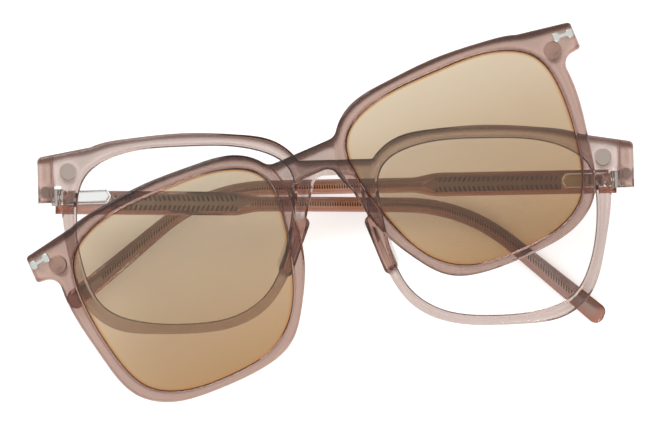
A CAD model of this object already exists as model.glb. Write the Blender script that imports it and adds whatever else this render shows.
import math

import bmesh
import bpy
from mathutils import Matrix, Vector


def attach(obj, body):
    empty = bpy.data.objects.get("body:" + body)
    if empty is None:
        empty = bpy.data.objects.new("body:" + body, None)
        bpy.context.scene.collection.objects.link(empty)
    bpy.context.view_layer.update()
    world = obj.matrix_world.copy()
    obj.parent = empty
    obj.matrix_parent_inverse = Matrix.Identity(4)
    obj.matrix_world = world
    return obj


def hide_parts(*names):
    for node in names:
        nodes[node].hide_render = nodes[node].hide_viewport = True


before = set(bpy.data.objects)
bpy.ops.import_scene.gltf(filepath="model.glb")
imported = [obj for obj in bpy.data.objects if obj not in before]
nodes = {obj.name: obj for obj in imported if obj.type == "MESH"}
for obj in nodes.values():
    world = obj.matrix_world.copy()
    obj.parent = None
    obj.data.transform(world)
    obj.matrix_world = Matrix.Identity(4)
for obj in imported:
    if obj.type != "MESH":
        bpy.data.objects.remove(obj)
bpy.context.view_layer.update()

print("frame loaded:", len(nodes), "nodes")

# The camera looks straight down at the glasses through a long lens
camera = {
    "photoWidth": 664,
    "mmPerPixel": 0.2377,
    "distance": 1.25,
    "planeHeight": 0.024,
    "centre": (0.00037, 0.00059),
    "roll": 1.585,
    "sensor": 36.0,
}

millimetresPerMetre = 1000
frameWidth = camera["photoWidth"] * camera["mmPerPixel"] / millimetresPerMetre
cameraData = bpy.data.cameras.new("camera")
cameraData.sensor_width = camera["sensor"]
cameraData.lens = camera["sensor"] * camera["distance"] / frameWidth
cameraObject = bpy.data.objects.new("camera", cameraData)
cameraObject.location = (*camera["centre"], camera["planeHeight"] + camera["distance"])
cameraObject.rotation_euler = (0, 0, -math.radians(camera["roll"]))
bpy.context.scene.collection.objects.link(cameraObject)
bpy.context.scene.camera = cameraObject
print("camera placed")


# Turns an sRGB hex colour to the linear values that shaders take
def linear(hexColour):
    parts = [int(hexColour[i:i + 2], 16) / 255 for i in (1, 3, 5)]
    return [p / 12.92 if p <= 0.04045 else ((p + 0.055) / 1.055) ** 2.4 for p in parts] + [1]


# Adds a node with its settings, its sockets' values and the links into it
def addNode(tree, kind, settings=None, values=None, links=None):
    node = tree.nodes.new(kind)
    for name, value in (settings or {}).items():
        setattr(node, name, value)
    for name, value in (values or {}).items():
        node.inputs[name].default_value = value
    for name, source in (links or {}).items():
        tree.links.new(source, node.inputs[name])
    return node


# Light and mirrored rays go straight through clear plastic, so shade and metal inside stay bright
def lightPasses(tree, body, clear):
    path = addNode(tree, "ShaderNodeLightPath")
    shade = addNode(tree, "ShaderNodeMath", {"operation": "MAXIMUM"},
                    links={0: path.outputs["Is Shadow Ray"], 1: path.outputs["Is Diffuse Ray"]})
    mirrored = addNode(tree, "ShaderNodeMath", {"operation": "SUBTRACT", "use_clamp": True}, links={
        0: path.outputs["Is Glossy Ray"], 1: path.outputs["Is Transmission Ray"]})
    either = addNode(tree, "ShaderNodeMath", {"operation": "MAXIMUM"},
                     links={0: shade.outputs[0], 1: mirrored.outputs[0]})
    mix = addNode(tree, "ShaderNodeMixShader",
                  links={0: either.outputs[0], 1: body.outputs[0], 2: clear.outputs[0]})
    return mix.outputs[0]


def newMaterial(name):
    material = bpy.data.materials.new(name)
    material.use_nodes = True
    material.node_tree.nodes.clear()
    return material, material.node_tree


def dressNodes(material, *names):
    for name in names:
        nodes[name].data.materials.clear()
        nodes[name].data.materials.append(material)


sides = ("left", "right")
samples = {"edge": 6, "slope": 16, "recess": 8}  # rays that feel round a point for each
weldReach = 1e-6  # vertices of the CAD meshes that lie closer than this are one
clipTurn = 21.87  # degrees by which the clip lies turned, and its colours with it


# Cellulose acetate, crystal taupe: cut from sheet and tumbled to a gloss, so its edges are soft.
# Its faces are a cool grey and its depth an amber brown, so long ways through it glow copper.
# Lighter slopes, dark outlines and a dark brow stand for light that bends in thick plastic.
acetate = {
    "ior": 1.49,
    "roughness": 0.012,
    "tumbleRadius": 0.0004,
    "edgeReach": 0.004,
    "edgeFall": 0.7,
    "faceColour": "#CDD0D0",
    "outlineColour": "#54413A",
    "slopeStops": (0.04, 0.12, 0.5, 0.85),  # face to, slope from and to, outline from
    "browRise": (0.16, 0.21),  # how far a face looks up before it takes the brow's colour
    "browFade": 0.006,
    "depthColour": (0.54, 0.16, 0.0),
    "shadeColour": "#E1D7D4",
}
acetatePieces = {
    "front": {"density": 135, "turn": 0, "slopeColour": "#F1F2F4", "browColour": "#78665F",
              "browFloor": -0.004},
    "clip": {"density": 370, "turn": clipTurn, "slopeColour": "#E2DEDC", "browColour": "#553E34",
             "browFloor": -0.002},
    "temple": {"density": 300, "turn": 0, "slopeColour": "#D9A58C", "browColour": "#9A7A68",
               "browFloor": -0.06},
}


# Gives a normal softened near edges, the side that is seen, and how well the softened normal
# agrees with the face's own: 1 on flats, less near edges
def nearEdge(tree, reach):
    softened = addNode(tree, "ShaderNodeBevel", {"samples": samples["slope"]}, {"Radius": reach})
    own = addNode(tree, "ShaderNodeNewGeometry")
    agree = addNode(tree, "ShaderNodeVectorMath", {"operation": "DOT_PRODUCT"},
                    links={0: softened.outputs[0], 1: own.outputs["Normal"]})
    return softened.outputs[0], own.outputs["Backfacing"], agree.outputs["Value"]


# Turns a vector back by the piece's lean and gives its part that points to the brow
def towardsBrow(tree, vector, lean):
    turned = addNode(tree, "ShaderNodeMapping", values={
        "Rotation": (0, 0, -math.radians(lean))}, links={"Vector": vector})
    split = addNode(tree, "ShaderNodeSeparateXYZ", links={"Vector": turned.outputs[0]})
    return split.outputs["Y"]


def crystalAcetate(piece):
    material, tree = newMaterial(f"crystal acetate, {piece}")
    own = acetatePieces[piece]
    tumbled = addNode(tree, "ShaderNodeBevel", {"samples": samples["edge"]},
                      {"Radius": acetate["tumbleRadius"]})
    softened, inside, agree = nearEdge(tree, acetate["edgeReach"])
    fall = addNode(tree, "ShaderNodeMapRange", values={
        "From Min": 1.0, "From Max": acetate["edgeFall"]}, links={"Value": agree})
    slope = addNode(tree, "ShaderNodeValToRGB", links={"Fac": fall.outputs[0]})
    stops = slope.color_ramp.elements
    stops[0].position, stops[1].position = acetate["slopeStops"][0], acetate["slopeStops"][3]
    stops[0].color, stops[1].color = linear(acetate["faceColour"]), linear(acetate["outlineColour"])
    for position in acetate["slopeStops"][1:3]:
        stops.new(position).color = linear(own["slopeColour"])
    local = addNode(tree, "ShaderNodeVectorTransform", {
        "vector_type": "NORMAL", "convert_from": "WORLD", "convert_to": "OBJECT"},
        links={"Vector": softened})
    outward = addNode(tree, "ShaderNodeMath", {"operation": "MULTIPLY_ADD"},
                      {1: -2.0, 2: 1.0}, {0: inside})  # 1 seen from outside, -1 from inside
    rise = addNode(tree, "ShaderNodeMath", {"operation": "MULTIPLY"}, links={
        0: towardsBrow(tree, local.outputs[0], own["turn"]), 1: outward.outputs[0]})
    brow = addNode(tree, "ShaderNodeMapRange", values={
        "From Min": acetate["browRise"][0], "From Max": acetate["browRise"][1]},
        links={"Value": rise.outputs[0]})
    place = addNode(tree, "ShaderNodeTexCoord")
    upper = addNode(tree, "ShaderNodeMapRange", values={
        "From Min": own["browFloor"] - acetate["browFade"],
        "From Max": own["browFloor"] + acetate["browFade"]},
        links={"Value": towardsBrow(tree, place.outputs["Object"], own["turn"])})
    shaded = addNode(tree, "ShaderNodeMath", {"operation": "MULTIPLY"},
                     links={0: brow.outputs[0], 1: upper.outputs[0]})
    colour = addNode(tree, "ShaderNodeMix", {"data_type": "RGBA"}, {7: linear(own["browColour"])},
                     {0: shaded.outputs[0], 6: slope.outputs[0]})
    body = addNode(tree, "ShaderNodeBsdfPrincipled", values={
        "Roughness": acetate["roughness"],
        "IOR": acetate["ior"],
        "Transmission Weight": 1.0,
    }, links={"Base Color": colour.outputs[2], "Normal": tumbled.outputs[0]})
    clear = addNode(tree, "ShaderNodeBsdfTransparent", values={
        "Color": linear(acetate["shadeColour"])})
    depth = addNode(tree, "ShaderNodeVolumeAbsorption", values={
        "Color": (*acetate["depthColour"], 1), "Density": own["density"]})
    addNode(tree, "ShaderNodeOutputMaterial", links={
        "Surface": lightPasses(tree, body, clear), "Volume": depth.outputs[0]})
    return material


# CR-39 lens with a dipped tea tint: light at the brow and deeper towards the lower edge
tint = {
    "ior": 1.5,
    "roughness": 0.01,
    "browColour": "#D0C5AF",
    "lowerColour": "#A0763F",
    "edgeColour": "#B07A44",
    "edgeReach": 0.0023,
    "edgeStart": 0.98,
    "edgeFull": 0.955,
    "browHeight": 0.030,
    "lowerHeight": -0.036,
    "lean": clipTurn,
    "glassColour": "#FBFCFC",
    "shadeGamma": 0.5,  # light crosses two faces, so each takes the square root of the tint
}


def lensMaterial(name, tinted):
    material, tree = newMaterial(name)
    body = addNode(tree, "ShaderNodeBsdfPrincipled", values={
        "Base Color": linear(tint["glassColour"]),
        "Roughness": tint["roughness"],
        "IOR": tint["ior"],
        "Transmission Weight": 1.0,
    })
    clear = addNode(tree, "ShaderNodeBsdfTransparent", values={
        "Color": linear(tint["glassColour"])})
    if tinted:
        place = addNode(tree, "ShaderNodeTexCoord")
        height = addNode(tree, "ShaderNodeMapRange", values={
            "From Min": tint["lowerHeight"], "From Max": tint["browHeight"]},
            links={"Value": towardsBrow(tree, place.outputs["Object"], tint["lean"])})
        ramp = addNode(tree, "ShaderNodeValToRGB", links={"Fac": height.outputs[0]})
        ramp.color_ramp.elements[0].color = linear(tint["lowerColour"])
        ramp.color_ramp.elements[1].color = linear(tint["browColour"])
        agree = nearEdge(tree, tint["edgeReach"])[2]
        edge = addNode(tree, "ShaderNodeMapRange", values={
            "From Min": tint["edgeStart"], "From Max": tint["edgeFull"]}, links={"Value": agree})
        stained = addNode(tree, "ShaderNodeMix", {"data_type": "RGBA"},
                          {7: linear(tint["edgeColour"])},
                          {0: edge.outputs[0], 6: ramp.outputs[0]})
        tree.links.new(stained.outputs[2], body.inputs["Base Color"])
        half = addNode(tree, "ShaderNodeGamma", values={"Gamma": tint["shadeGamma"]},
                       links={"Color": ramp.outputs[0]})
        tree.links.new(half.outputs[0], clear.inputs["Color"])
    addNode(tree, "ShaderNodeOutputMaterial", links={"Surface": lightPasses(tree, body, clear)})
    return material


# Plated and machined metals: dull in the recesses, where plating and polish don't reach
metals = {
    "chrome plate, polished": {
        "colour": "#FDFBF9", "recess": "#8C8783", "roughness": 0.08, "edge": 0.0007},
    "nickel silver core, coined": {
        "colour": "#FFF8EE", "recess": "#F2E2CC", "roughness": 0.25, "edge": 0.0003},
    "nickel silver wire, thread rolled": {
        "colour": "#FFDDA6", "recess": "#3A2414", "roughness": 0.3, "edge": 0.0001},
    "coined ground, oxidised": {
        "colour": "#4A372A", "recess": "#2E211A", "roughness": 0.4, "edge": 0.0001},
    "neodymium disc, nickel plated": {
        "colour": "#B2A49A", "recess": "#6E625B", "roughness": 0.3, "edge": 0.0001},
    "neodymium disc, silver plated": {
        "colour": "#FBF3EC", "recess": "#A89C94", "roughness": 0.3, "edge": 0.0001},
    "stainless steel, turned": {
        "colour": "#BDB9B4", "recess": "#55504C", "roughness": 0.25, "edge": 0.0001},
    "rivet, polished plate": {
        "colour": "#D3D6D0", "recess": "#4B4A48", "roughness": 0.12, "edge": 0.0004},
}
recessReach = 0.0006

# The wire's thread has about 0.45 mm from turn to turn, too fine to show, so it is drawn coarser,
# as rings of bright crests and dark roots along the frame's width
wireThread = {"pitch": 0.0006, "depth": 0.0001}
waveRadians = 20  # a wave texture of scale 1 runs through so many radians a unit


def metal(name, thread=None):
    material, tree = newMaterial(name)
    rounded = addNode(tree, "ShaderNodeBevel", {"samples": samples["edge"]},
                      {"Radius": metals[name]["edge"]})
    if thread:
        place = addNode(tree, "ShaderNodeTexCoord")
        turns = addNode(tree, "ShaderNodeTexWave", {"bands_direction": "X"},
                        {"Scale": math.tau / waveRadians / thread["pitch"]},
                        {"Vector": place.outputs["Object"]})
        bright = turns.outputs["Fac"]
        rounded = addNode(tree, "ShaderNodeBump", values={"Distance": thread["depth"]},
                          links={"Height": bright, "Normal": rounded.outputs[0]})
    else:
        recess = addNode(tree, "ShaderNodeAmbientOcclusion", {
            "samples": samples["recess"], "only_local": True}, {"Distance": recessReach})
        bright = recess.outputs["AO"]
    colour = addNode(tree, "ShaderNodeMix", {"data_type": "RGBA"}, {
        6: linear(metals[name]["recess"]), 7: linear(metals[name]["colour"])}, {0: bright})
    body = addNode(tree, "ShaderNodeBsdfPrincipled", values={
        "Roughness": metals[name]["roughness"],
        "Metallic": 1.0,
    }, links={"Base Color": colour.outputs[2], "Normal": rounded.outputs[0]})
    addNode(tree, "ShaderNodeOutputMaterial", links={"Surface": body.outputs[0]})
    return material


dressNodes(crystalAcetate("front"), "front_frame")
dressNodes(crystalAcetate("clip"), "clip_frame")
dressNodes(lensMaterial("clear lens, coated", False), "lens_left", "lens_right")
dressNodes(lensMaterial("lens, dip tinted", True), "clip_lens_left", "clip_lens_right")
dressNodes(metal("chrome plate, polished"), "hinge_box_left", "hinge_box_right")
dressNodes(metal("nickel silver core, coined"), "temple_core_left", "temple_core_right")
dressNodes(metal("neodymium disc, nickel plated"), "front_magnet_left", "front_magnet_right")
dressNodes(metal("neodymium disc, silver plated"), "clip_magnet_left", "clip_magnet_right")
dressNodes(metal("stainless steel, turned"), "hinge_leaf_left", "hinge_leaf_right",
           "hinge_screw_left", "hinge_screw_right")
dressNodes(metal("rivet, polished plate"), "clip_rivet_left", "clip_rivet_right")
print("materials made")

# The ribs of the cores are polished, the ground between them keeps its dark oxide, and the wire
# behind the point has its thread
ribs = {"slope": 5.6, "flatness": 0.99, "rise": 0.0004, "point": 0.0036}  # degrees; metres
ground = metal("coined ground, oxidised")
wire = metal("nickel silver wire, thread rolled", wireThread)
groundSlot, wireSlot = 1, 2
for side, way in (("left", -1), ("right", 1)):
    core = nodes[f"temple_core_{side}"].data
    core.materials.append(ground)
    core.materials.append(wire)
    lean = math.radians(ribs["slope"])
    up = Vector((way * math.sin(lean), 0, math.cos(lean)))
    flats = [face for face in core.polygons if face.normal.dot(up) > ribs["flatness"]]
    floorLevel = min(face.center.dot(up) for face in flats)
    grounds = [face for face in flats if face.center.dot(up) < floorLevel + ribs["rise"] / 2]
    for face in grounds:
        face.material_index = groundSlot
    pointEnd = max(way * face.center.x for face in grounds) + ribs["point"]
    threaded = [face for face in core.polygons if way * face.center.x > pointEnd]
    for face in threaded:
        face.material_index = wireSlot
    print("core", side, "ground faces", len(grounds), "threaded faces", len(threaded))

# The rivets are hammered over, so their heads spread a little; the discs are glued in without air
spreads = {"clip_rivet": 0.00018, "clip_magnet": 0.00006, "front_magnet": 0.00006}
crispAngle = 35
for kind, amount in spreads.items():
    for side in sides:
        piece = nodes[f"{kind}_{side}"]
        weld = piece.modifiers.new("one skin", "WELD")
        weld.merge_threshold = weldReach
        spread = piece.modifiers.new("spread", "DISPLACE")
        spread.strength = amount
        spread.mid_level = 0
        crisp = piece.modifiers.new("crisp edges", "EDGE_SPLIT")
        crisp.split_angle = math.radians(crispAngle)

# Metal let into the plastic is pressed in a hair oversize, so no empty skin shows round it
pressFit = 0.00002
for name in ("hinge_leaf_left", "hinge_leaf_right", "hinge_box_left", "hinge_box_right"):
    grown = nodes[name].modifiers.new("press fit", "DISPLACE")
    grown.strength = pressFit
    grown.mid_level = 0

templeAcetate = crystalAcetate("temple")
skinAngle = 25  # degrees from which the edges of a temple's skin stay sharp


# How far a shell of faces reaches across the frame
def acrossFrame(shell):
    places = [vertex.co.x for face in shell for vertex in face.verts]
    return max(places) - min(places)


# The core is shot into the warm plastic, so a temple keeps its outer skin, the longest shell,
# with no air inside
def carriedCopy(name):
    copy = bpy.data.objects.new(f"acetate_{name}", nodes[name].data.copy())
    bpy.context.scene.collection.objects.link(copy)
    work = bmesh.new()
    work.from_mesh(copy.data)
    bmesh.ops.remove_doubles(work, verts=work.verts, dist=weldReach)
    shells, left = [], set(work.faces)
    while left:
        todo, shell = [left.pop()], []
        while todo:
            face = todo.pop()
            shell.append(face)
            near = {other for edge in face.edges for other in edge.link_faces} & left
            left -= near
            todo.extend(near)
        shells.append(shell)
    shells.sort(key=acrossFrame)
    print(name, "shells", [len(shell) for shell in shells])
    bmesh.ops.delete(work, geom=[face for shell in shells[:-1] for face in shell], context="FACES")
    work.to_mesh(copy.data)
    work.free()
    copy.data.materials.clear()
    copy.data.materials.append(templeAcetate)
    for polygon in copy.data.polygons:
        polygon.use_smooth = True
    copy.data.set_sharp_from_angle(angle=math.radians(skinAngle))
    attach(copy, name)
    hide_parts(name)


carriedCopy("temple_left")
carriedCopy("temple_right")
print("plastic shaped")

# White paper table under a bright ceiling, with dark walls that draw the edges of the plastic
studio = {
    "floorSize": 1.2,
    "floorDrop": 0.0002,
    "floorColour": "#F0F0F0",
    "floorGlow": 0.42,
    "ceilingColour": "#FFFFFF",
    "ceilingStrength": 0.95,
    "wallColour": "#1E1B1A",
    "wallTop": 0.25,
    "ceilingEdge": 0.7,
    "backdropColour": "#FFFFFF",
}

floorMaterial, tree = newMaterial("paper, white")
paper = addNode(tree, "ShaderNodeBsdfDiffuse", values={"Color": linear(studio["floorColour"])})
glow = addNode(tree, "ShaderNodeEmission", values={"Strength": studio["floorGlow"]})
path = addNode(tree, "ShaderNodeLightPath")
seen = addNode(tree, "ShaderNodeMath", {"operation": "MAXIMUM"},
               links={0: path.outputs["Is Camera Ray"], 1: path.outputs["Is Transmission Ray"]})
seenToo = addNode(tree, "ShaderNodeMath", {"operation": "MAXIMUM"},
                  links={0: seen.outputs[0], 1: path.outputs["Is Glossy Ray"]})
both = addNode(tree, "ShaderNodeAddShader", links={0: paper.outputs[0], 1: glow.outputs[0]})
floorMix = addNode(tree, "ShaderNodeMixShader",
                   links={0: seenToo.outputs[0], 1: paper.outputs[0], 2: both.outputs[0]})
addNode(tree, "ShaderNodeOutputMaterial", links={"Surface": floorMix.outputs[0]})

bpy.ops.mesh.primitive_plane_add(size=studio["floorSize"], location=(0, 0, -studio["floorDrop"]))
floor = bpy.context.object
floor.name = "floor"
floor.data.materials.append(floorMaterial)

world = bpy.data.worlds.new("studio")
world.use_nodes = True
tree = world.node_tree
tree.nodes.clear()
direction = addNode(tree, "ShaderNodeTexCoord")
split = addNode(tree, "ShaderNodeSeparateXYZ", links={"Vector": direction.outputs["Generated"]})
height = addNode(tree, "ShaderNodeMapRange", {"interpolation_type": "SMOOTHSTEP"}, values={
    "From Min": studio["wallTop"], "From Max": studio["ceilingEdge"]},
    links={"Value": split.outputs["Z"]})
room = addNode(tree, "ShaderNodeMix", {"data_type": "RGBA"}, {
    6: linear(studio["wallColour"]), 7: linear(studio["ceilingColour"])}, {0: height.outputs[0]})
roomLight = addNode(tree, "ShaderNodeBackground", values={"Strength": studio["ceilingStrength"]},
                    links={"Color": room.outputs[2]})
backdrop = addNode(tree, "ShaderNodeBackground", values={
    "Color": linear(studio["backdropColour"])})
path = addNode(tree, "ShaderNodeLightPath")
sky = addNode(tree, "ShaderNodeMixShader", links={
    0: path.outputs["Is Camera Ray"], 1: roomLight.outputs[0], 2: backdrop.outputs[0]})
addNode(tree, "ShaderNodeOutputWorld", links={"Surface": sky.outputs[0]})
bpy.context.scene.world = world

# Both boxes stand low enough that the flat lenses don't mirror them upwards
lamps = {
    "rear box": {"place": (-0.55, 0.75, 0.55), "size": 0.5, "power": 7.0},
    "front box": {"place": (0.5, -0.8, 0.5), "size": 0.4, "power": 4.0},
}
for name, lamp in lamps.items():
    light = bpy.data.lights.new(name, "AREA")
    light.size = lamp["size"]
    light.energy = lamp["power"]
    lightObject = bpy.data.objects.new(name, light)
    lightObject.location = lamp["place"]
    lightObject.rotation_euler = (-Vector(lamp["place"])).to_track_quat("-Z", "Y").to_euler()
    bpy.context.scene.collection.objects.link(lightObject)
print("studio lit")

bpy.context.scene.view_settings.view_transform = "Standard"
